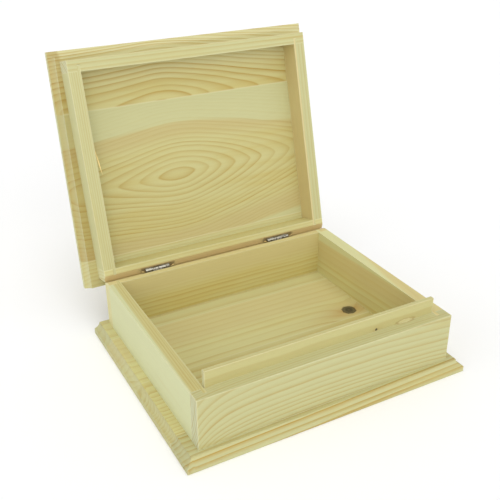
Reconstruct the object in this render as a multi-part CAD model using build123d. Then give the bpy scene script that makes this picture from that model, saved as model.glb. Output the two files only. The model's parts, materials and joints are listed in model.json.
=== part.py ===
from build123d import *
import os

# Pine keepsake and toy box with a hinged lid, in millimetres.
# Origin: centre of the base board's underside. +X runs to the right along the front,
# +Y to the back and +Z up. The lid stands open against its stop, as it does when the
# box is in use, and closes by turning forwards about the hinge pins.

# ---- driving dimensions -----------------------------------------------------------
BODY_WIDTH = 250.0          # outside of the walls, left to right
BODY_DEPTH = 210.0          # outside of the walls, front to back
STOCK = 12.0                # planed pine: walls, base and lid board
WALL_HEIGHT = 48.0
RAIL_HEIGHT = 23.0          # depth of the lid's frame
FRONT_RAIL_STOCK = 11.0     # planed thinner, so that it swings clear of the lip
EASE = 0.5                  # sanded arrises

SIDE_LEDGE = 8.5            # flat shelf of the base and lid board beside the walls
BASE_FRONT_LEDGE = 4.0
LID_FRONT_LEDGE = 4.5
BASE_BACK_OVERHANG = 5.5
LID_BACK_OVERHANG = 8.5
LID_END_SKEW = 1.2          # the lid board's left end is trimmed this many degrees out of square
BASE_STAVES = (33.5, 77.0, 78.0)         # widths from the front; the last takes the rest
LID_STAVES = (58.0, 143.5)

MOULD_RUN = 5.5             # moulded edge: how far it reaches out past the shelf
QUIRK = 1.2                 # small square step at the foot of the shelf
MOULD_DROP = 6.0            # height of the step and cove together
COVE_SAG = 1.0              # hollow of the cove below its chord

TONGUE = 3.0                # housed corner joint: tongue thickness and reach
TONGUE_REACH = 6.0
DADO_DEPTH = 6.2

LIP_STOCK = 4.0             # thin batten glued inside the front wall
LIP_RISE = 15.0             # how far it stands above the wall
LIP_END_GAP = 0.5

LID_OPEN = 104.5            # opening angle at the stop, in degrees
RIM_GAP = 0.3               # between wall tops and lid frame when shut
PIN_INSET = 2.1             # hinge pin's centre in front of the back face
BEVEL_RUN = 6.2             # bevel that makes room for the hinges and stops the lid
BEVEL_RISE = 2.8

LEFT_HINGE = -71.0          # hinge centres, as let in by eye
RIGHT_HINGE = 67.0
HINGE_LENGTH = 25.0
LEAF_STOCK = 0.9
LEAF_REACH = 9.2            # from the pin's centre to the leaf's tip
KNUCKLE_RADIUS = 1.5
KNUCKLE_GAP = 0.3
CENTRE_KNUCKLE = 8.4
PIN_RADIUS = 0.75
PIN_CLEARANCE = 0.05        # the pin turns in the box leaf's knuckle
PIN_LENGTH = 25.4
BARB_HEIGHT = 0.25          # punched teeth that grip the kerf
BARB_LENGTH = 1.4
BARB_WIDTH = 1.6

KERF = 1.0                  # saw slot that takes a leaf
KERF_REACH = 9.5            # from the pin's centre to the slot's bottom
SAW_RADIUS = 30.0

# ---- places worked out from them --------------------------------------------------
HALF = BODY_WIDTH / 2
BASE_HALF = HALF + SIDE_LEDGE + MOULD_RUN
BASE_DEPTH = BODY_DEPTH + BASE_FRONT_LEDGE + MOULD_RUN + BASE_BACK_OVERHANG
BASE_FRONT = -BASE_DEPTH / 2
BASE_BACK = BASE_DEPTH / 2
FRONT = BASE_FRONT + MOULD_RUN + BASE_FRONT_LEDGE
BACK = FRONT + BODY_DEPTH
WALL_TOP = STOCK + WALL_HEIGHT
HINGE_Y = BACK - PIN_INSET
HINGE_Z = WALL_TOP + RIM_GAP / 2
RIM = WALL_TOP + RIM_GAP
RAIL_TOP = RIM + RAIL_HEIGHT
LID_FRONT = FRONT - LID_FRONT_LEDGE - MOULD_RUN
LID_BACK = BACK + LID_BACK_OVERHANG
OUTER_KNUCKLE = (HINGE_LENGTH - CENTRE_KNUCKLE) / 2 - KNUCKLE_GAP


# ---- shared shapes ----------------------------------------------------------------
def block(x0, x1, y0, y1, z0, z1):
    """A square-cut piece given by its limits."""
    centre = Pos((x0 + x1) / 2, (y0 + y1) / 2, (z0 + z1) / 2)
    return centre * Box(x1 - x0, y1 - y0, z1 - z0)


def rod(radius, x0, x1, y, z):
    """A round bar along X."""
    return Pos((x0 + x1) / 2, y, z) * Rot(0, 90, 0) * Cylinder(radius, x1 - x0)


def eased(part, axis, *picks):
    """Round the part's edges along one axis that lie at the picked (y, z), (x, z) or (x, y)."""
    first, second = {Axis.X: ("Y", "Z"), Axis.Y: ("X", "Z"), Axis.Z: ("X", "Y")}[axis]
    chosen = []
    for edge in part.edges().filter_by(axis):
        middle = edge.center()
        place = (getattr(middle, first), getattr(middle, second))
        for pick in picks:
            if abs(place[0] - pick[0]) < 0.01 and abs(place[1] - pick[1]) < 0.01:
                chosen.append(edge)
    return fillet(chosen, EASE)


def swung_open(part):
    """Turn a lid piece from its shut place to the open stop."""
    return Pos(0, HINGE_Y, HINGE_Z) * Rot(-LID_OPEN, 0, 0) * Pos(0, -HINGE_Y, -HINGE_Z) * part


# ---- base and lid boards ----------------------------------------------------------
def mould_cutter(length):
    """What the moulding cutter takes off an edge: shelf corner at the origin, outside at +X."""
    middle = Vector(MOULD_RUN / 2, 0, -(QUIRK + MOULD_DROP) / 2)
    inward = Vector(-(MOULD_DROP - QUIRK), 0, -MOULD_RUN).normalized()
    hollow = middle + inward * COVE_SAG
    beyond = MOULD_RUN + 8
    step_foot = (0, 0, -QUIRK)
    land_top = (MOULD_RUN - EASE, 0, -MOULD_DROP)
    outline = Polyline(land_top, (MOULD_RUN, 0, -MOULD_DROP - EASE), (MOULD_RUN, 0, EASE - STOCK),
                       (MOULD_RUN - EASE, 0, -STOCK), (MOULD_RUN - EASE, 0, -STOCK - 2),
                       (beyond, 0, -STOCK - 2), (beyond, 0, 2), (0, 0, 2), step_foot)
    cove = ThreePointArc(step_foot, hollow, land_top)
    return extrude(make_face([outline, cove]), length / 2, both=True, dir=(0, 1, 0))


def moulded_board(front, back, front_ledge, end_skew=0.0):
    """A board with its shelf at z = 0, moulded on the left, front and right edges.

    The left end keeps its place at the back and runs in towards the front by the skew."""
    depth = back - front
    middle = (front + back) / 2
    board = block(-BASE_HALF, BASE_HALF, front, back, -STOCK, 0)
    board = eased(board, Axis.X, (back, -STOCK), (back, 0))
    right_side = Pos(HALF + SIDE_LEDGE, middle, 0) * mould_cutter(depth + 10)
    left_turn = Pos(-BASE_HALF, back, 0) * Rot(0, 0, end_skew) * Pos(BASE_HALF, -back, 0)
    across = Rot(0, 0, -90) * mould_cutter(2 * BASE_HALF + 10)
    board -= right_side
    board -= left_turn * mirror(right_side, Plane.YZ)
    board -= Pos(0, FRONT - front_ledge, 0) * across
    return board


def staves(board, widths, front, back):
    """Rip a glued-up board into its staves, front to back."""
    cuts = [front]
    for width in widths:
        cuts.append(cuts[-1] + width)
    cuts.append(back)
    strips = []
    for y0, y1 in zip(cuts, cuts[1:]):
        strips.append(board & block(-200, 200, y0, y1, -STOCK, STOCK))
    return strips


def base_staves():
    board = moulded_board(BASE_FRONT, BASE_BACK, BASE_FRONT_LEDGE)
    strips = staves(board, BASE_STAVES, BASE_FRONT, BASE_BACK)
    return [Pos(0, 0, STOCK) * strip for strip in strips]


def lid_staves():
    board = moulded_board(LID_FRONT, LID_BACK, LID_FRONT_LEDGE, LID_END_SKEW)
    board = mirror(board, Plane.XY)
    strips = staves(board, LID_STAVES, LID_FRONT, LID_BACK)
    return [Pos(0, 0, RAIL_TOP) * strip for strip in strips]


# ---- walls and lid frame ----------------------------------------------------------
def dados(y_face, into, z0, z1):
    """The two upright grooves near a long board's ends that house the tongues."""
    y_far = y_face + into * DADO_DEPTH
    groove = block(HALF - STOCK, HALF - STOCK + TONGUE, min(y_face, y_far), max(y_face, y_far), z0, z1)
    return groove + mirror(groove, Plane.YZ)


def long_board(y0, y1, z0, z1, inner_face, free_edge):
    """Front or back board: full width, end grain showing, outer arrises sanded."""
    outer_face = y0 if inner_face == y1 else y1
    board = block(-HALF, HALF, y0, y1, z0, z1)
    board = eased(board, Axis.Z, (-HALF, outer_face), (HALF, outer_face))
    board = eased(board, Axis.X, (outer_face, free_edge))
    into = 1 if outer_face > inner_face else -1
    return board - dados(inner_face, into, z0, z1)


def side_board(front_inner, back_inner, z0, z1, free_edge):
    """Left board or rail: between the long boards, with a tongue at each end."""
    board = block(-HALF, -HALF + STOCK, front_inner, back_inner, z0, z1)
    board = eased(board, Axis.Y, (-HALF, free_edge))
    tongue = block(-HALF + STOCK - TONGUE, -HALF + STOCK,
                   front_inner - TONGUE_REACH, back_inner + TONGUE_REACH, z0, z1)
    return board + tongue


def back_bevel(rim, side):
    """Wedge planed off the back edge at the rim; side is -1 below the rim and +1 above."""
    outline = Polyline((0, BACK - BEVEL_RUN, rim), (0, BACK + 1, rim + side * BEVEL_RISE * (1 + 1 / BEVEL_RUN)),
                       (0, BACK + 1, rim - side * 2), (0, BACK - BEVEL_RUN, rim - side * 2), close=True)
    return extrude(make_face(outline), HALF + 5, both=True, dir=(1, 0, 0))


def leaf_plane(x, side):
    """Plane of a leaf when the lid is shut: Y runs from the pin into the wood at 45 degrees."""
    return Plane(origin=(x, HINGE_Y, HINGE_Z), x_dir=(1, 0, 0), z_dir=(0, -side, -1))


def kerfs(side):
    """The two slots that a small circular saw leaves for the hinge leaves."""
    disc = Pos(0, KERF_REACH - SAW_RADIUS, 0) * Cylinder(SAW_RADIUS, KERF)
    left = leaf_plane(LEFT_HINGE, side) * disc
    right = leaf_plane(RIGHT_HINGE, side) * disc
    return left + right


def front_board():
    return long_board(FRONT, FRONT + STOCK, STOCK, WALL_TOP, FRONT + STOCK, WALL_TOP)


def back_board():
    board = long_board(BACK - STOCK, BACK, STOCK, WALL_TOP, BACK - STOCK, WALL_TOP)
    return board - back_bevel(WALL_TOP, -1) - kerfs(-1)


def left_board():
    return side_board(FRONT + STOCK, BACK - STOCK, STOCK, WALL_TOP, WALL_TOP)


def lid_front_rail():
    inner = FRONT + FRONT_RAIL_STOCK
    return long_board(FRONT, inner, RIM, RAIL_TOP, inner, RIM)


def lid_back_rail():
    rail = long_board(BACK - STOCK, BACK, RIM, RAIL_TOP, BACK - STOCK, RIM)
    return rail - back_bevel(RIM, 1) - kerfs(1)


def lid_left_rail():
    return side_board(FRONT + FRONT_RAIL_STOCK, BACK - STOCK, RIM, RAIL_TOP, RIM)


def front_lip():
    """Batten that stands proud of the front wall and guides the lid shut."""
    end = HALF - STOCK - LIP_END_GAP
    y0 = FRONT + STOCK
    top = WALL_TOP + LIP_RISE
    batten = block(-end, end, y0, y0 + LIP_STOCK, STOCK, top)
    return eased(batten, Axis.X, (y0, top), (y0 + LIP_STOCK, top))


# ---- slot hinges ------------------------------------------------------------------
def knuckle_spans(centre):
    """X spans of the centre knuckle or of the two outer ones, from the hinge's middle."""
    if centre:
        return [(-CENTRE_KNUCKLE / 2, CENTRE_KNUCKLE / 2)]
    inner = CENTRE_KNUCKLE / 2 + KNUCKLE_GAP
    return [(-inner - OUTER_KNUCKLE, -inner), (inner, inner + OUTER_KNUCKLE)]


def barb(x, y, face):
    """A punched tooth on a leaf, steep on the side that resists being pulled out."""
    base = face * LEAF_STOCK / 2
    outline = Polyline((x, y, 0), (x, y, base + face * BARB_HEIGHT),
                       (x, y + BARB_LENGTH, base), (x, y + BARB_LENGTH, 0), close=True)
    return extrude(make_face(outline), BARB_WIDTH / 2, both=True, dir=(1, 0, 0))


def leaf(centre):
    """A hinge leaf lying in XY with the pin along X; it holds the centre or outer knuckles."""
    plate = Pos(0, LEAF_REACH / 2, 0) * Box(HINGE_LENGTH, LEAF_REACH, LEAF_STOCK)
    tip_radius = SAW_RADIUS - (KERF_REACH - LEAF_REACH)
    plate = plate & Pos(0, KERF_REACH - SAW_RADIUS, 0) * Cylinder(tip_radius, LEAF_STOCK)
    for x0, x1 in knuckle_spans(not centre):
        plate -= rod(KNUCKLE_RADIUS + KNUCKLE_GAP, x0 - KNUCKLE_GAP, x1 + KNUCKLE_GAP, 0, 0)
    for x0, x1 in knuckle_spans(centre):
        plate += rod(KNUCKLE_RADIUS, x0, x1, 0, 0)
    for x in (-9.0, -3.0, 3.0, 9.0):
        for face in (-1, 1):
            plate += barb(x, 3.6, face)
    bore = PIN_RADIUS + (PIN_CLEARANCE if centre else 0)
    return plate - rod(bore, -HINGE_LENGTH, HINGE_LENGTH, 0, 0)


def hinge_pin(x):
    pin = rod(PIN_RADIUS, x - PIN_LENGTH / 2, x + PIN_LENGTH / 2, HINGE_Y, HINGE_Z)
    return chamfer(pin.edges().filter_by(GeomType.CIRCLE), 0.15)


# ---- the assembly -----------------------------------------------------------------
def box_nodes():
    nodes = {}
    for number, stave in enumerate(base_staves(), start=1):
        nodes[f"base_stave_{number}"] = stave
    nodes["front_board"] = front_board()
    nodes["back_board"] = back_board()
    nodes["left_board"] = left_board()
    nodes["right_board"] = mirror(left_board(), Plane.YZ)
    nodes["front_lip"] = front_lip()
    for name, x in (("left", LEFT_HINGE), ("right", RIGHT_HINGE)):
        nodes[f"hinge_{name}_box_leaf"] = leaf_plane(x, -1) * leaf(centre=True)
    return nodes


def lid_nodes():
    nodes = {}
    for number, stave in enumerate(lid_staves(), start=1):
        nodes[f"lid_stave_{number}"] = stave
    nodes["lid_front_rail"] = lid_front_rail()
    nodes["lid_back_rail"] = lid_back_rail()
    nodes["lid_left_rail"] = lid_left_rail()
    nodes["lid_right_rail"] = mirror(lid_left_rail(), Plane.YZ)
    for name, x in (("left", LEFT_HINGE), ("right", RIGHT_HINGE)):
        nodes[f"hinge_{name}_lid_leaf"] = leaf_plane(x, 1) * leaf(centre=False)
        nodes[f"hinge_{name}_pin"] = hinge_pin(x)
    return {name: swung_open(part) for name, part in nodes.items()}


os.makedirs("parts", exist_ok=True)
for name, part in {**box_nodes(), **lid_nodes()}.items():
    export_step(part, f"parts/{name}.step")
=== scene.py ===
import json
import math
from dataclasses import dataclass

import bpy
from mathutils import Matrix, Vector


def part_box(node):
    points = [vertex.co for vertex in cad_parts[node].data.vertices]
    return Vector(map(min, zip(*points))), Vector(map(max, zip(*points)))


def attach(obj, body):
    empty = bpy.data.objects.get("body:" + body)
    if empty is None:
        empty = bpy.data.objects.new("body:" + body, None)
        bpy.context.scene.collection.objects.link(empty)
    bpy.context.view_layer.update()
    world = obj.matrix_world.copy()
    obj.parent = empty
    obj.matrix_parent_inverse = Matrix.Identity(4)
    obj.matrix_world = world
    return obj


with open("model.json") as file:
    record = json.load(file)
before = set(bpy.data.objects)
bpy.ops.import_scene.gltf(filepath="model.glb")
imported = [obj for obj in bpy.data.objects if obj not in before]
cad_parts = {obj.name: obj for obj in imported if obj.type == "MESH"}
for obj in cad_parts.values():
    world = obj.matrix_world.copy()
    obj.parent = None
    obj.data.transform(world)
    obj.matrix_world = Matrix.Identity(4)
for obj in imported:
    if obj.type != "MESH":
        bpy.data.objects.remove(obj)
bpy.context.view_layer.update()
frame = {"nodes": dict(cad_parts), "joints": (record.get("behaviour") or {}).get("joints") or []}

# Looks of a bare pine box with a hinged lid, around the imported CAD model. Lengths are metres in
# Blender. The grain is described in millimetres, and lid boards' grain where they lie when the lid
# is shut, so that the joint's swing is taken out of it.

MM = 1000.0

LID_JOINT = frame["joints"][0]
LID_SWING = math.radians(LID_JOINT["range_deg"][1])
LID_PIVOT = Vector(LID_JOINT["pos_m"])
PIN_Y = LID_PIVOT.y * MM
PIN_Z = LID_PIVOT.z * MM
INSIDE_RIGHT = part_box("right_board")[0].x * MM      # the box's inner right face


# ---- shader arithmetic ------------------------------------------------------------
class Num:
    """A number worked out over a surface; arithmetic on it adds shader nodes."""

    def __init__(self, tree, socket):
        self.tree = tree
        self.socket = socket

    def math(self, operation, *others):
        made = self.tree.nodes.new("ShaderNodeMath")
        made.operation = operation
        for socket, value in zip(made.inputs, (self, *others)):
            feed(self.tree, socket, value)
        return Num(self.tree, made.outputs[0])

    def __add__(self, other):
        return self.math("ADD", other)

    def __sub__(self, other):
        return self.math("SUBTRACT", other)

    def __rsub__(self, other):
        return (self * -1.0) + other

    def __mul__(self, other):
        return self.math("MULTIPLY", other)

    def __truediv__(self, other):
        return self.math("DIVIDE", other)

    def __pow__(self, other):
        return self.math("POWER", other)

    def size(self):
        return self.math("ABSOLUTE")

    def part(self):
        """What is left after the whole number."""
        return self.math("FRACT")

    def whole(self):
        return self.math("FLOOR")

    def decay(self):
        """Falls from 1 at zero towards 0."""
        return (self * -1.0).math("EXPONENT")

    def ramp(self, low, high, start=0.0, end=1.0):
        """Rises smoothly from start to end as the number goes from low to high."""
        made = self.tree.nodes.new("ShaderNodeMapRange")
        made.interpolation_type = "SMOOTHSTEP"
        for name, value in (("Value", self), ("From Min", low), ("From Max", high),
                            ("To Min", start), ("To Max", end)):
            feed(self.tree, made.inputs[name], value)
        return Num(self.tree, made.outputs["Result"])


def feed(tree, socket, value):
    """Link a worked-out value to a socket, or set a plain one on it."""
    if isinstance(value, Num):
        tree.links.new(value.socket, socket)
    else:
        socket.default_value = value


def vector(tree, x, y, z):
    made = tree.nodes.new("ShaderNodeCombineXYZ")
    for socket, value in zip(made.inputs, (x, y, z)):
        feed(tree, socket, value)
    return Num(tree, made.outputs[0])


def noise(place, scale, seed, detail=2.0, roughness=0.5):
    """Smooth noise about 0, from -0.5 to 0.5, with its own scale along each axis."""
    x, y, z = place
    tree = x.tree
    made = tree.nodes.new("ShaderNodeTexNoise")
    point = vector(tree, x * scale[0] + seed, y * scale[1] + seed * 0.37, z * scale[2] - seed)
    feed(tree, made.inputs["Vector"], point)
    made.inputs["Scale"].default_value = 1.0
    made.inputs["Detail"].default_value = detail
    made.inputs["Roughness"].default_value = roughness
    return Num(tree, made.outputs["Fac"]) - 0.5


def chance(number, seed):
    """An even spread of 0 to 1, one value for each whole number."""
    made = number.tree.nodes.new("ShaderNodeTexWhiteNoise")
    made.noise_dimensions = "1D"
    feed(number.tree, made.inputs["W"], number + seed)
    return Num(number.tree, made.outputs["Value"])


FIRST_COLOUR, SECOND_COLOUR, MIXED_COLOUR = 6, 7, 2     # a colour Mix node's sockets


def mixed(tree, factor, first, second, blend="MIX"):
    """Mix two colours, each a plain colour or a worked-out one."""
    made = tree.nodes.new("ShaderNodeMix")
    made.data_type = "RGBA"
    made.blend_type = blend
    feed(tree, made.inputs["Factor"], factor)
    feed(tree, made.inputs[FIRST_COLOUR], first)
    feed(tree, made.inputs[SECOND_COLOUR], second)
    return Num(tree, made.outputs[MIXED_COLOUR])


def srgb(red, green, blue):
    """A colour given as it looks on a screen, 0 to 255."""
    def linear(value):
        value /= 255
        return value / 12.92 if value <= 0.04045 else ((value + 0.055) / 1.055) ** 2.4
    return (linear(red), linear(green), linear(blue), 1.0)


def new_material(name):
    material = bpy.data.materials.new(name)
    material.use_nodes = True
    tree = material.node_tree
    return material, tree, tree.nodes["Principled BSDF"]


def split(tree, socket):
    """A vector's x, y and z as Nums."""
    made = tree.nodes.new("ShaderNodeSeparateXYZ")
    tree.links.new(socket, made.inputs[0])
    return {axis: Num(tree, made.outputs[index]) for index, axis in enumerate("xyz")}


def object_place(tree):
    """The surface's place in the object, in millimetres."""
    found = tree.nodes.new("ShaderNodeTexCoord")
    axes = split(tree, found.outputs["Object"])
    return [axes[axis] * MM for axis in "xyz"]


def add_bump(tree, shader, height, strength, depth):
    """Raise the surface by a worked-out height, of about depth metres."""
    bump = tree.nodes.new("ShaderNodeBump")
    bump.inputs["Strength"].default_value = strength
    bump.inputs["Distance"].default_value = depth
    feed(tree, bump.inputs["Height"], height)
    tree.links.new(bump.outputs["Normal"], shader.inputs["Normal"])


# ---- pine -------------------------------------------------------------------------
EARLY = srgb(199, 193, 137)             # wood grown in spring
BEIGE = srgb(193, 191, 142)             # the same, in greyer boards
WARM = srgb(214, 194, 138)              # and in a browner one
TAN = srgb(194, 179, 110)               # where the heartwood is warmer
LATE = srgb(172, 138, 52)               # wood grown in late summer
SAP = srgb(197, 196, 148)               # the tree's outer wood
WHITE_WOOD = srgb(206, 210, 168)        # and the palest of it
PINK = srgb(194, 180, 126)              # a rosy zone between the two
END_PALE = srgb(200, 203, 168)          # sawn ends
RUBBED_AND_PAINTED_LIGHT = srgb(212, 209, 168)            # sanded edges, and the painted light under the lid's front rail
ROSY = srgb(194, 171, 118)              # the planed bevels
SHELF_SHADE_TINT = (0.78, 0.70, 0.56, 1.0)     # painted shade: what the shelf beside the lid's left rail is darkened by
SLOT_SHADE_BROWN = srgb(104, 82, 50)            # painted shade in the hinges' saw cuts
FLECK = srgb(150, 118, 66)
KNOT_DARK = srgb(54, 48, 34)
KNOT_GREY = srgb(112, 104, 68)
RESIN = srgb(172, 118, 48)
TORN_PALE = srgb(232, 206, 138)
TORN_BROWN = srgb(178, 142, 88)
POCKET_RIM = srgb(158, 128, 72)
POCKET_PALE = srgb(216, 208, 160)


@dataclass
class Knot:
    """A knot that runs through a board, with its place on the face."""
    along: float
    across: float
    radius: float
    pull: float             # how far the rings bend round it
    stain: float            # how much resin has coloured the wood beside it


@dataclass
class Pocket:
    """A long resin pocket: its middle and half its size, along, across and through the board."""
    middle: tuple
    half: tuple


@dataclass
class Grain:
    """How a board was cut from the log: millimetres along, across and through the board."""
    along: str = "x"
    across: str = "y"
    through: str = "z"
    pith_across: float = 0.0        # where the heart of the tree runs
    pith_through: float = -60.0
    tilt: float = 0.0               # the pith's slope against the board
    bow_at: float = 0.0             # lines bend away from here,
    bow: float = 0.0                # by this much 100 mm away
    sweep_at: float = 0.0           # and dive near one end,
    sweep: float = 0.0              # this far
    sweep_length: float = 20.0      # over about this length
    crown_at: float = 0.0           # flat-sawn arches or eyes are centred here,
    fall_left: float = 0.0          # their lines fall this far to the left
    reach_left: float = 50.0        # over about this length,
    fall_right: float = 0.0         # and so to the right
    reach_right: float = 50.0
    ring: float = 5.0               # ring width at the heart
    narrow: float = 0.004           # how fast the rings get narrower outwards
    phase: float = 0.0              # part of a ring already grown at the heart
    late_share: float = 2.3         # higher draws thinner late-wood lines
    strength: float = 0.6           # how dark the late wood is
    sap_before: float = 900.0       # radius where pale sapwood starts, on the low side
    sap_after: float = 900.0        # and on the high side of the heart
    sap_blend: float = 4.0          # how gradually it starts
    sap_nearer: float = 0.0         # how much nearer the low side's starts at the right end
    outer: tuple = SAP              # colour of the sapwood
    inner: tuple = EARLY            # colour of the early wood inside it
    blush_before: float = 900.0     # radius where that turns pinkish, on the low side
    blush_after: float = 900.0      # and on the high side of the heart
    end_pale: float = 0.45          # how much paler the sawn ends are
    end_lines: float = 1.0          # how strongly the rings show on them
    end_dark: float = 0.0           # painted shade on faces turned along the grain, as if lit less from above
    burnished: float = 0.0          # how much painted shade darkens the shelf at the board's left end, beside the left rail
    end_swirl: float = 0.0          # millimetres the rings wander on the left moulding
    light: float = 1.0              # brightness of the whole board; on the floor and back boards raised as painted light, filling the shade inside the box
    wander: float = 2.0             # how unsteadily the rings run
    seed: float = 0.0               # picks this board's part of every noise
    tan: float = 0.35               # warmth of the heartwood
    pale: float = 0.0               # how pale the whole board is
    front_pale: float = 0.0         # painted light: how much paler it turns towards the box's front, lifting the shade under the lid's front rail
    swings: bool = False            # lid boards are drawn where they lie when shut
    sawn: bool = False              # browner on its bevel, with painted shade in the hinges' slots
    knots: tuple = ()
    pockets: tuple = ()


def board_place(tree, grain):
    """Millimetres along, across and through the board, as Nums, and the surface's facing."""
    found = tree.nodes.new("ShaderNodeTexCoord")
    turn = tree.nodes.new("ShaderNodeMapping")
    tree.links.new(found.outputs["Object"], turn.inputs["Vector"])
    facing = tree.nodes.new("ShaderNodeMapping")
    tree.links.new(found.outputs["Normal"], facing.inputs["Vector"])
    if grain.swings:
        shut = Matrix.Rotation(LID_SWING, 3, "X")
        turn.inputs["Rotation"].default_value = (LID_SWING, 0, 0)
        turn.inputs["Location"].default_value = LID_PIVOT - shut @ LID_PIVOT
        facing.inputs["Rotation"].default_value = (LID_SWING, 0, 0)
    places = split(tree, turn.outputs["Vector"])
    facings = split(tree, facing.outputs["Vector"])
    axes = (grain.along, grain.across, grain.through)
    return [places[axis] * MM for axis in axes], [facings[axis] for axis in axes]


CROWN_POINT = 1.5               # 1 closes arches in sharp corners, 2 in round ends
MOULDING_START = -131.0         # the left mouldings' inner edge, and where their swirl is full
MOULDING_SWIRLED = -134.0


def ring_radius(place, grain):
    """Distance from the pith, bent to draw arches and eyes; the wood's age; the pith's side."""
    along, across, through = place
    drift = noise(place, (1 / 110, 1 / 38, 1 / 38), grain.seed + 3.1, detail=3.0)
    fine = noise(place, (1 / 34, 1 / 12, 1 / 12), grain.seed + 8.7, detail=2.0)
    wander = drift * (4.0 * grain.wander) + fine * (0.8 * grain.wander)
    side = across - grain.pith_across + wander
    if grain.tilt:
        side = side - along * grain.tilt
    if grain.bow:
        side = side - ((along - grain.bow_at) / 100.0) ** 2.0 * grain.bow
    if grain.sweep:
        side = side + ((along - grain.sweep_at).size() / grain.sweep_length).decay() * grain.sweep
    depth = through - grain.pith_through
    radius = (side * side + depth * depth) ** 0.5
    age = radius
    if grain.fall_left:
        fall = crown_fall(along, grain)
        radius = (radius ** CROWN_POINT + fall ** CROWN_POINT) ** (1.0 / CROWN_POINT)
        age = (age + radius) * 0.5
    if grain.end_swirl:
        swirl = noise(place, (1 / 9, 1 / 11, 1 / 7), grain.seed + 15.0, detail=1.0)
        radius = radius + swirl * along.ramp(MOULDING_START, MOULDING_SWIRLED) * grain.end_swirl
    for knot in grain.knots:
        away = knot_distance(place, knot)
        radius = radius + (away / (knot.radius * 2.2)).decay() * (knot.pull * grain.ring * 1.6)
    return radius, age, side


def zones(along, age, side, grain):
    """How far the wood is sapwood, and how pinkish the zone next to it is."""
    sap_before = grain.sap_before
    if grain.sap_nearer:
        sap_before = sap_before - along.ramp(0.0, INSIDE_RIGHT) * grain.sap_nearer
    sap = side.ramp(-3.0, 3.0, sap_before, grain.sap_after)
    sapwood = (age - sap).ramp(-grain.sap_blend / 2, grain.sap_blend / 2)
    blush = side.ramp(-3.0, 3.0, grain.blush_before, grain.blush_after)
    return sapwood, (age - blush).ramp(-5.0, 9.0) * (1.0 - sapwood)


def crown_fall(along, grain):
    """How far ring lines have fallen from their crown, so that arches and eyes close."""
    off = along - grain.crown_at
    gone = (off * off + 36.0) ** 0.5 - 6.0
    left = ((gone / grain.reach_left).decay() * -1.0 + 1.0) * grain.fall_left
    right = ((gone / grain.reach_right).decay() * -1.0 + 1.0) * grain.fall_right
    return left + (right - left) * off.ramp(-4.0, 4.0)


def knot_distance(place, knot):
    """Millimetres from a knot's middle, on the face; knots are a little longer along the grain."""
    rough = noise(place, (0.3, 0.3, 0.2), knot.along + 2.0)
    along = (place[0] - knot.along) * 0.93
    across = place[1] - knot.across
    return (along * along + across * across) ** 0.5 + rough * (knot.radius * 0.45)


def ring_pattern(radius, place, grain):
    """Early to late wood across each ring, 0 to 1; good and bad years differ a little."""
    count = (radius * grain.narrow + 1.0) * radius / grain.ring + grain.phase
    uneven = noise((count * 0.55, count * 0.0, count * 0.0), (1, 1, 1), grain.seed + 5.0)
    count = count + uneven * 0.9
    turn = count.part()
    band = (turn ** grain.late_share) * turn.ramp(1.0, 0.86)
    year = chance(count.whole(), grain.seed) * 0.7 + 0.6
    faint = noise(place, (0.011, 0.05, 0.05), grain.seed + 7.7) * 0.9 + 1.0
    return band * year * faint * 1.3


FRONT_PAINTED_LIGHT_SPAN = (-68.0, -92.0)    # from here to here a front stave is painted paler, as light lifting the shade under the lid's front rail
SHELF_DARKENS = (-122.0, -126.0)


def pine_colour(tree, place, facing, grain):
    """Colour of raw pine, how late the wood is, its fibre, and how far the face is end grain."""
    radius, age, side = ring_radius(place, grain)
    sapwood, pinkish = zones(place[0], age, side, grain)
    rings = ring_pattern(radius, place, grain)
    fibre = noise(place, (0.045, 1.9, 1.9), grain.seed + 1.3, detail=4.0, roughness=0.65)
    streak = noise(place, (0.006, 0.16, 0.16), grain.seed + 6.4, detail=3.0)
    cloud = noise(place, (0.012, 0.035, 0.035), grain.seed + 9.2, detail=2.0)
    warmth = (streak * 1.1 + cloud * 0.9 + grain.tan) * (1.0 - sapwood)
    colour = mixed(tree, warmth.ramp(0.0, 1.0), grain.inner, TAN)
    colour = mixed(tree, pinkish * 0.85, colour, PINK)
    colour = mixed(tree, sapwood * 0.8, colour, grain.outer)
    if grain.pale:
        colour = mixed(tree, grain.pale, colour, SAP)
    # Painted light: towards its front the stave is mixed paler, filling the shade under the lid's
    # front rail.
    if grain.front_pale:
        colour = mixed(tree, place[1].ramp(*FRONT_PAINTED_LIGHT_SPAN) * grain.front_pale, colour, RUBBED_AND_PAINTED_LIGHT)
    blush = (streak * 2.0 - 0.15).ramp(0.0, 0.7) * 0.35
    colour = mixed(tree, blush, colour, PINK)
    end = facing[0].size().ramp(0.25, 0.85)
    colour = mixed(tree, end * grain.end_pale, colour, END_PALE)
    late = rings * (1.0 - sapwood * 0.85) * (1.0 - pinkish * 0.45) * grain.strength
    late = late * (end * (grain.end_lines - 1.0) + 1.0)
    colour = mixed(tree, late.math("MINIMUM", 1.0), colour, LATE)
    shade = fibre * 0.16 + grain.light
    # Painted shade: faces turned along the grain, such as the base's end mouldings, are darkened as
    # if lit less from above.
    if grain.end_dark:
        shade = shade - facing[0].size().ramp(0.15, 0.4) * grain.end_dark
    colour = mixed(tree, 1.0, colour, vector(tree, shade, shade, shade * 0.99), "MULTIPLY")
    return marks_and_painted_shade(tree, place, facing, colour, grain), late, fibre, end


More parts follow.
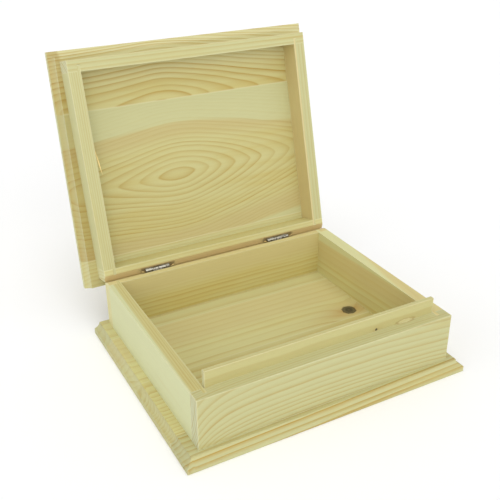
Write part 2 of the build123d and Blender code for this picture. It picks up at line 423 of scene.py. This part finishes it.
def marks_and_painted_shade(tree, place, facing, colour, grain):
    """What cutting left on a board, painted shade on its left shelf and in the hinge slots, and its
    flecks, knots and resin pockets.
    """
    # Painted shade: the shelf at the board's left end, in the corner beside the left rail, is
    # darkened.
    if grain.burnished:
        shelf = place[0].ramp(*SHELF_DARKENS) * facing[2].ramp(-0.1, -0.6)
        colour = mixed(tree, shelf * grain.burnished, colour, SHELF_SHADE_TINT, "MULTIPLY")
    if grain.sawn:
        bevel = facing[2].ramp(0.2, 0.35) * facing[2].ramp(0.7, 0.5)
        colour = mixed(tree, bevel * 0.85, colour, ROSY)
        # Painted shade in the hinges' slots, round the pins.
        colour = mixed(tree, slot_shade(place), colour, SLOT_SHADE_BROWN)
    fleck = noise(place, (0.07, 1.5, 1.5), grain.seed + 2.9, detail=1.0).ramp(0.2, 0.3)
    colour = mixed(tree, fleck * 0.16, colour, FLECK)
    for knot in grain.knots:
        colour = knot_colour(tree, place, knot, colour)
    for pocket in grain.pockets:
        colour = pocket_colour(tree, place, pocket, colour)
    return colour


def off_pin(y, z):
    """Millimetres from the hinge pins' axis."""
    return ((y - PIN_Y) ** 2.0 + (z - PIN_Z) ** 2.0) ** 0.5


def slot_shade(place):
    """Painted shade: how brown the wood is in the hinge slots, round the pins and a little past
    them.
    """
    x, z, y = place
    brown = 0.0
    for side in ("left", "right"):
        low, high = (corner.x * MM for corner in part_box(f"hinge_{side}_box_leaf"))
        brown = x.ramp(low - 5.5, low - 3.0) * x.ramp(high + 8.0, high + 4.0) + brown
    patchy = noise(place, (0.5, 0.9, 0.9), 61.0) * 0.9 + 0.66
    return off_pin(y, z).ramp(3.9, 2.5) * brown * patchy


def knot_colour(tree, place, knot, colour):
    """A dark, ringed heart with a darker rim, in resin-stained wood."""
    away = knot_distance(place, knot)
    stretched = (((place[0] - knot.along) * 0.4) ** 2.0 + (place[1] - knot.across) ** 2.0) ** 0.5
    halo = (stretched / (knot.radius * 1.2)).decay() * knot.stain
    colour = mixed(tree, halo.math("MINIMUM", 0.75), colour, RESIN)
    heart = mixed(tree, (away * (5.0 / knot.radius)).math("SINE") * 0.3 + 0.4, KNOT_GREY, KNOT_DARK)
    inside = away.ramp(knot.radius * 1.06, knot.radius * 0.88)
    colour = mixed(tree, inside, colour, heart)
    rim = (away - knot.radius).size().ramp(knot.radius * 0.22, 0.0)
    return mixed(tree, rim * 0.8, colour, KNOT_DARK)


def pocket_colour(tree, place, pocket, colour):
    """A brown outline round pale, crystallised resin."""
    terms = [((value - middle) / half) ** 2.0
             for value, middle, half in zip(place, pocket.middle, pocket.half)]
    ragged = noise(place, (0.3, 0.6, 0.6), 3.3, detail=3.0) * 0.7
    away = (terms[0] + terms[1] + terms[2]) ** 0.5 + ragged
    colour = mixed(tree, away.ramp(1.0, 0.7) * 0.45, colour, POCKET_PALE)
    return mixed(tree, (away - 0.95).size().ramp(0.3, 0.0) * 0.5, colour, POCKET_RIM)


def shut_limits(node, grain):
    """A board's lowest and highest millimetres along, across and through, lid shut."""
    piece = frame["nodes"][node]
    turn = Matrix.Identity(4)
    if grain.swings:
        turn = (Matrix.Translation(LID_PIVOT) @ Matrix.Rotation(LID_SWING, 4, "X")
                @ Matrix.Translation(-LID_PIVOT))
    corners = [turn @ vertex.co * MM for vertex in piece.data.vertices]
    limits = []
    for axis in (grain.along, grain.across, grain.through):
        values = [getattr(corner, axis) for corner in corners]
        limits.append((min(values), max(values)))
    return limits


def arris(place, node, grain):
    """1 on the board's sanded edges and 0 a millimetre in from them."""
    inset = []
    for value, (low, high) in zip(place, shut_limits(node, grain)):
        inset.append((value - low).math("MINIMUM", value * -1.0 + high))
    a, b, c = inset
    middle = a.math("MINIMUM", b).math("MAXIMUM", a.math("MAXIMUM", b).math("MINIMUM", c))
    return middle.ramp(1.1, 0.3)


def pine(node, grain):
    """Bare, planed and sanded pine: rings through the wood, fibre, end grain and bump."""
    material, tree, shader = new_material(f"pine_{node}")
    place, facing = board_place(tree, grain)
    colour, late, fibre, end = pine_colour(tree, place, facing, grain)
    rubbed = arris(place, node, grain) * (noise(place, (0.05, 0.05, 0.05), grain.seed) + 0.75)
    colour = mixed(tree, rubbed * 0.5, colour, RUBBED_AND_PAINTED_LIGHT)
    feed(tree, shader.inputs["Base Color"], colour)
    rough = 0.62 - late * 0.12 + fibre * 0.16 + end * 0.12
    feed(tree, shader.inputs["Roughness"], rough)
    shader.inputs["Specular IOR Level"].default_value = 0.28
    pores = noise(place, (0.12, 3.1, 3.1), grain.seed + 4.4, detail=3.0)
    add_bump(tree, shader, late * 0.6 + fibre * 0.7 + pores * 0.5, strength=0.35, depth=0.00025)
    return material


# ---- each board's cut -------------------------------------------------------------
LID_JOINT_LINE = -55.0          # between the lid's front and middle staves
EYE = (-26.0, 19.0)             # the middle of the rings inside the lid
FRONT_POCKET = Pocket(middle=(82.0, 61.0, -91.0), half=(10.0, 2.2, 2.4))
FLOOR_KNOT = Knot(along=96.8, across=10.8, radius=6.4, pull=1.5, stain=0.8)
PIN_KNOT = Knot(along=50.9, across=61.6, radius=1.1, pull=0.1, stain=0.3)


def panel(swings, **cut):
    """A stave that lies flat, its grain running left to right."""
    return Grain(along="x", across="y", through="z", swings=swings, **cut)


def long_piece(swings, **cut):
    """A board on edge at the front or back."""
    return Grain(along="x", across="z", through="y", swings=swings, **cut)


def side_piece(swings, **cut):
    """A board on edge at the left or right."""
    return Grain(along="y", across="z", through="x", swings=swings, **cut)


# Each board's cut, found by comparing its grain with the real box's. The first value says whether
# it is part of the lid.
GRAINS = {
    "base_stave_1": panel(False, pith_across=-220.0, pith_through=-60.0, ring=4.6, narrow=0.0,
                          strength=0.8, tan=0.2, inner=BEIGE, seed=11.0, wander=0.5, tilt=0.02,
                          end_pale=0.15, end_lines=0.7, end_dark=0.13, end_swirl=4.0,
                          phase=-2.07, light=0.96),
    # The floor staves below are brightened (light) as painted light, filling the shade inside the
    # box.
    "base_stave_2": panel(False, pith_across=5.0, pith_through=-30.0, ring=3.7, narrow=0.0,
                          phase=0.9, strength=0.52, late_share=2.6, tan=0.3, seed=12.0,
                          wander=0.7, pale=0.15, end_pale=0.25, end_lines=0.7, end_dark=0.2,
                          end_swirl=7.0, light=1.06),
    "base_stave_3": panel(False, pith_across=-25.0, pith_through=-25.0, ring=7.0, narrow=0.0,
                          strength=0.46, late_share=3.6, tan=0.2, seed=13.0, wander=0.9,
                          pale=0.25, blush_after=70.0, end_pale=0.25, end_lines=0.6,
                          end_dark=0.2, end_swirl=10.0, light=1.09, knots=(FLOOR_KNOT,)),
    "base_stave_4": panel(False, pith_across=150.0, pith_through=-44.0, ring=9.0, narrow=0.0,
                          strength=0.4, tan=0.1, pale=0.3, seed=14.0, end_pale=0.35, end_lines=0.6,
                          end_dark=0.21, end_swirl=10.0, light=1.03),
    "front_board": long_piece(False, pith_across=96.0, pith_through=10.0, ring=2.5, narrow=0.0,
                              strength=0.62, late_share=4.0, tan=0.05, inner=BEIGE, seed=21.0,
                              bow_at=-20.0, bow=-3.4, wander=1.2, sweep_at=-125.0, sweep=19.0,
                              sweep_length=16.0, end_pale=0.9, end_lines=1.4, light=0.95,
                              pockets=(FRONT_POCKET,)),
    # The back board is brightened (light) as painted light, filling the shade inside the box.
    "back_board": long_piece(False, pith_across=-30.0, pith_through=190.0, ring=4.4, strength=0.45,
                             tan=0.55, seed=22.0, wander=0.9, sap_after=118.0, sap_blend=10.0,
                             outer=PINK, light=1.13, sawn=True),
    "left_board": side_piece(False, pith_across=34.0, pith_through=60.0, ring=2.1, narrow=0.0,
                             strength=0.36, tan=0.3, seed=23.0, wander=0.3, tilt=-0.11,
                             sap_before=184.2, sap_after=184.2, sap_blend=1.6, outer=WHITE_WOOD,
                             light=0.98),
    "right_board": side_piece(False, pith_across=-60.0, pith_through=180.0, ring=12.0, strength=0.3,
                              tan=0.25, seed=24.0, wander=0.8, tilt=-0.06, blush_after=114.0,
                              sap_after=135.0, sap_blend=3.0, light=1.14),
    "front_lip": long_piece(False, pith_across=40.0, pith_through=-160.0, ring=8.0, strength=0.25,
                            tan=0.0, seed=25.0, wander=1.6, light=0.95, knots=(PIN_KNOT,),
                            pockets=(FRONT_POCKET,)),
    # The lid's front stave is painted paler towards its front, as light in the shade of the front
    # rail.
    "lid_stave_1": panel(True, pith_across=LID_JOINT_LINE, pith_through=82.6, ring=8.5,
                         narrow=0.014, phase=0.7, strength=0.72, late_share=2.4, tan=0.38,
                         seed=31.0, wander=0.9, crown_at=-32.0, fall_left=14.0, reach_left=36.0,
                         fall_right=45.0, reach_right=117.0, end_lines=0.6, burnished=1.0,
                         front_pale=0.5),
    "lid_stave_2": panel(True, pith_across=EYE[1], pith_through=82.6, ring=6.8, narrow=0.008,
                         phase=0.1, strength=0.6, late_share=3.0, tan=0.3, seed=32.0, wander=1.1,
                         tilt=-0.03, crown_at=EYE[0], fall_left=33.0, reach_left=82.0,
                         fall_right=90.0, reach_right=215.0, blush_before=36.0, blush_after=56.0,
                         sap_before=51.0, sap_after=76.0, sap_nearer=7.0, end_lines=0.6,
                         burnished=0.9, light=0.955),
    "lid_stave_3": panel(True, pith_across=190.0, pith_through=40.0, ring=6.4, strength=0.4,
                         tan=0.15, pale=0.5, seed=33.0, wander=1.0, end_lines=0.6, burnished=0.5),
    "lid_front_rail": long_piece(True, pith_across=120.0, pith_through=-30.0, ring=3.4, narrow=0.0,
                                 strength=0.5, tan=0.12, inner=BEIGE, seed=41.0, wander=0.4,
                                 end_pale=0.8, end_lines=1.6),
    "lid_back_rail": long_piece(True, pith_across=60.0, pith_through=200.0, ring=6.4, strength=0.35,
                                tan=0.15, seed=42.0, wander=0.8, light=1.03, sawn=True),
    "lid_left_rail": side_piece(True, pith_across=72.0, pith_through=60.0, ring=2.1, narrow=0.0,
                                strength=0.42, tan=0.1, inner=BEIGE, seed=43.0, wander=0.3),
    "lid_right_rail": side_piece(True, pith_across=72.0, pith_through=190.0, ring=6.0, strength=0.3,
                                 tan=0.05, inner=BEIGE, seed=44.0, wander=0.8, sap_before=76.3,
                                 sap_after=76.3, sap_blend=2.0, outer=WARM, light=0.97),
}


# ---- hinge steel ------------------------------------------------------------------
PLATE = srgb(212, 210, 198)
WIRE = srgb(186, 184, 172)
TARNISH = srgb(84, 82, 72)
LEAF_SHADE_GREY = srgb(74, 70, 54)


def hinge_steel(name, tint, rough, seed):
    """Stamped, plated steel: bright round the pin, its leaves painted dark as the shade in their
    slots; scratched and tarnished.
    """
    material, tree, shader = new_material(name)
    place = object_place(tree)
    # Painted shade: the leaves, down in their slots, are darkened away from the pin.
    leaf_shade = off_pin(place[1], place[2]).ramp(1.5, 2.0)
    drawn = noise(place, (0.4, 7.0, 7.0), seed, detail=3.0)
    patch = noise(place, (0.5, 0.6, 0.6), seed + 4.0, detail=3.0)
    tarnish = (patch * 2.4).ramp(-0.1, 0.4) * 0.9
    colour = mixed(tree, tarnish, tint, TARNISH)
    colour = mixed(tree, leaf_shade * 0.85, colour, LEAF_SHADE_GREY)
    feed(tree, shader.inputs["Base Color"], colour)
    shader.inputs["Metallic"].default_value = 1.0
    feed(tree, shader.inputs["Roughness"], drawn * 0.12 + patch * 0.14 + leaf_shade * 0.25 + rough)
    add_bump(tree, shader, drawn + patch, strength=0.25, depth=0.0001)
    return material


def dress(node, material):
    """Give a CAD node its material."""
    piece = frame["nodes"][node]
    piece.data.materials.clear()
    piece.data.materials.append(material)


def dress_all():
    """Give every board its own pine, and the hinges their steel."""
    for node, grain in GRAINS.items():
        dress(node, pine(node, grain))
    plate = hinge_steel("hinge_plate", PLATE, rough=0.32, seed=1.0)
    wire = hinge_steel("hinge_wire", WIRE, rough=0.28, seed=2.0)
    for node in frame["nodes"]:
        if node.startswith("hinge_"):
            dress(node, wire if node.endswith("_pin") else plate)


# ---- torn wood --------------------------------------------------------------------
def torn_pine():
    """The fibrous, paler wood of a fresh tear."""
    material, tree, shader = new_material("pine_torn")
    place = object_place(tree)
    fibre = noise(place, (0.9, 6.0, 6.0), 51.0, detail=3.0)
    patch = noise(place, (0.3, 0.3, 0.3), 54.0)
    colour = mixed(tree, (fibre + patch + 0.5).ramp(0.0, 0.55), TORN_BROWN, TORN_PALE)
    feed(tree, shader.inputs["Base Color"], colour)
    feed(tree, shader.inputs["Roughness"], fibre * 0.2 + 0.75)
    add_bump(tree, shader, fibre, strength=0.5, depth=0.0001)
    return material


def sliver(name, body, spine, width, material):
    """A torn splinter along a spine of points, in metres: flat, pointed at both ends."""
    corners, faces = [], []
    for step, point in enumerate(spine):
        before, after = spine[max(step - 1, 0)], spine[min(step + 1, len(spine) - 1)]
        along = (after - before).normalized()
        out = along.cross(Vector((0.2, 1.0, 0.3))).normalized()
        up = along.cross(out)
        share = math.sin(math.pi * (step + 0.25) / (len(spine) - 0.5))
        wide, thick = width / 2 * share, width / 5 * share
        corners += [point + out * wide, point + up * thick, point - out * wide, point - up * thick]
    for ring in range(len(spine) - 1):
        start = ring * 4
        for side in range(4):
            turn = (side + 1) % 4
            faces.append((start + side, start + turn, start + 4 + turn, start + 4 + side))
    last = len(corners) - 4
    faces += [(3, 2, 1, 0), (last, last + 1, last + 2, last + 3)]
    mesh = bpy.data.meshes.new(name)
    mesh.from_pydata(corners, [], faces)
    mesh.materials.append(material)
    piece = bpy.data.objects.new(name, mesh)
    bpy.context.scene.collection.objects.link(piece)
    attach(piece, body)


SPLINTER = [(-112.9, -22.0, 62.0), (-112.0, -16.0, 62.2), (-111.3, -10.7, 61.8),
            (-111.0, -6.8, 60.8), (-110.8, -3.4, 59.8), (-110.0, 3.6, 59.2)]
SPLINTER_WIDTH = 0.0011
BURRS = ((1.2, -0.7, 3.6), (2.4, 0.0, 2.6))     # past the leaf, above the pin, length
BURR_WIDTH = 0.0009
BURR_FRONT = 0.0012             # how far they start in front of the pin
BURR_RISE = 0.0006              # how far they rise along their length
BURR_CURL = 0.0004              # and curl up midway


def rim_splinter(material):
    """A splinter hanging off the lid's left rim, its spine given where it lies lid shut."""
    open_lid = (Matrix.Translation(LID_PIVOT) @ Matrix.Rotation(-LID_SWING, 4, "X")
                @ Matrix.Translation(-LID_PIVOT))
    spine = [open_lid @ (Vector(point) / MM) for point in SPLINTER]
    sliver("rim_splinter", "lid", spine, SPLINTER_WIDTH, material)


def saw_burr(name, x, out, burr, material):
    """A burr where the saw ran out past a hinge leaf's end at x, pointing outwards."""
    reach, lift, length = burr
    start = Vector((x + out * reach / MM, LID_PIVOT.y - BURR_FRONT, LID_PIVOT.z + lift / MM))
    lean = Vector((out * length / MM, 0.0, BURR_RISE))
    spine = [start + lean * share + Vector((0, 0, BURR_CURL * math.sin(math.pi * share)))
             for share in (0.0, 0.25, 0.5, 0.75, 1.0)]
    sliver(name, "box", spine, BURR_WIDTH, material)


def torn_places():
    """The splinter, and two burrs at each end of each hinge's slot."""
    material = torn_pine()
    rim_splinter(material)
    for side in ("left", "right"):
        low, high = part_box(f"hinge_{side}_box_leaf")
        for end, x, out in (("a", low.x, -1.0), ("b", high.x, 1.0)):
            for number, burr in enumerate(BURRS):
                saw_burr(f"saw_burr_{side}_{end}{number}", x, out, burr, material)


# ---- studio -----------------------------------------------------------------------
FLOOR_HALF = 6.0                # metres


def floor():
    """A plain pale floor, larger than the view."""
    mesh = bpy.data.meshes.new("floor")
    corners = [(x * FLOOR_HALF, y * FLOOR_HALF, 0) for x, y in ((-1, -1), (1, -1), (1, 1), (-1, 1))]
    mesh.from_pydata(corners, [], [(0, 1, 2, 3)])
    slab = bpy.data.objects.new("floor", mesh)
    bpy.context.scene.collection.objects.link(slab)
    material, tree, shader = new_material("floor_paper")
    place = object_place(tree)
    mottle = noise(place, (0.004, 0.004, 0.004), 7.0) * 0.02 + 0.95
    feed(tree, shader.inputs["Base Color"], vector(tree, mottle, mottle, mottle))
    shader.inputs["Roughness"].default_value = 0.9
    shader.inputs["Specular IOR Level"].default_value = 0.1
    mesh.materials.append(material)


def soft_light(name, side, height, strength):
    """A broad, soft light, so many degrees round from the front and up."""
    lamp = bpy.data.lights.new(name, "SUN")
    lamp.angle = math.radians(50)
    lamp.energy = strength
    light = bpy.data.objects.new(name, lamp)
    light.rotation_euler = (math.radians(90 - height), 0, math.radians(side))
    bpy.context.scene.collection.objects.link(light)


def studio():
    """A white tent, brightest low down, lit softly from the front, the left and overhead."""
    world = bpy.data.worlds.new("studio")
    world.use_nodes = True
    tree = world.node_tree
    tent = tree.nodes["Background"]
    tent.inputs["Color"].default_value = (1.0, 1.0, 1.0, 1.0)
    found = tree.nodes.new("ShaderNodeTexCoord")
    height = split(tree, found.outputs["Generated"])["z"]
    feed(tree, tent.inputs["Strength"], height.ramp(0.1, 0.8, 1.0, 0.5))
    scene = bpy.context.scene
    scene.world = world
    scene.view_settings.view_transform = "Standard"
    soft_light("key", side=-12.0, height=24.0, strength=0.86)
    soft_light("left", side=-88.0, height=24.0, strength=0.37)
    soft_light("overhead", side=-20.0, height=78.0, strength=1.02)


CAMERA_PLACE = (-0.30455, -0.52375, 0.42448)
CAMERA_ROUND = -0.4933          # radians to the left of the front,
CAMERA_DOWN = 0.4788            # looking down,
CAMERA_ROLL = -0.006            # and a touch off level
LENS = 54.85                    # millimetres, on a 36 mm sensor


def camera():
    """Front left, looking down 27 degrees, as the object is usually shown."""
    lens = bpy.data.cameras.new("camera")
    lens.sensor_width = 36.0
    lens.lens = LENS
    seen = bpy.data.objects.new("camera", lens)
    turned = (Matrix.Rotation(CAMERA_ROUND, 4, "Z")
              @ Matrix.Rotation(math.pi / 2 - CAMERA_DOWN, 4, "X"))
    level = Matrix.Rotation(CAMERA_ROLL, 4, "Z")
    seen.matrix_world = Matrix.Translation(CAMERA_PLACE) @ turned @ level
    bpy.context.scene.collection.objects.link(seen)
    bpy.context.scene.camera = seen


dress_all()
torn_places()
floor()
studio()
camera()
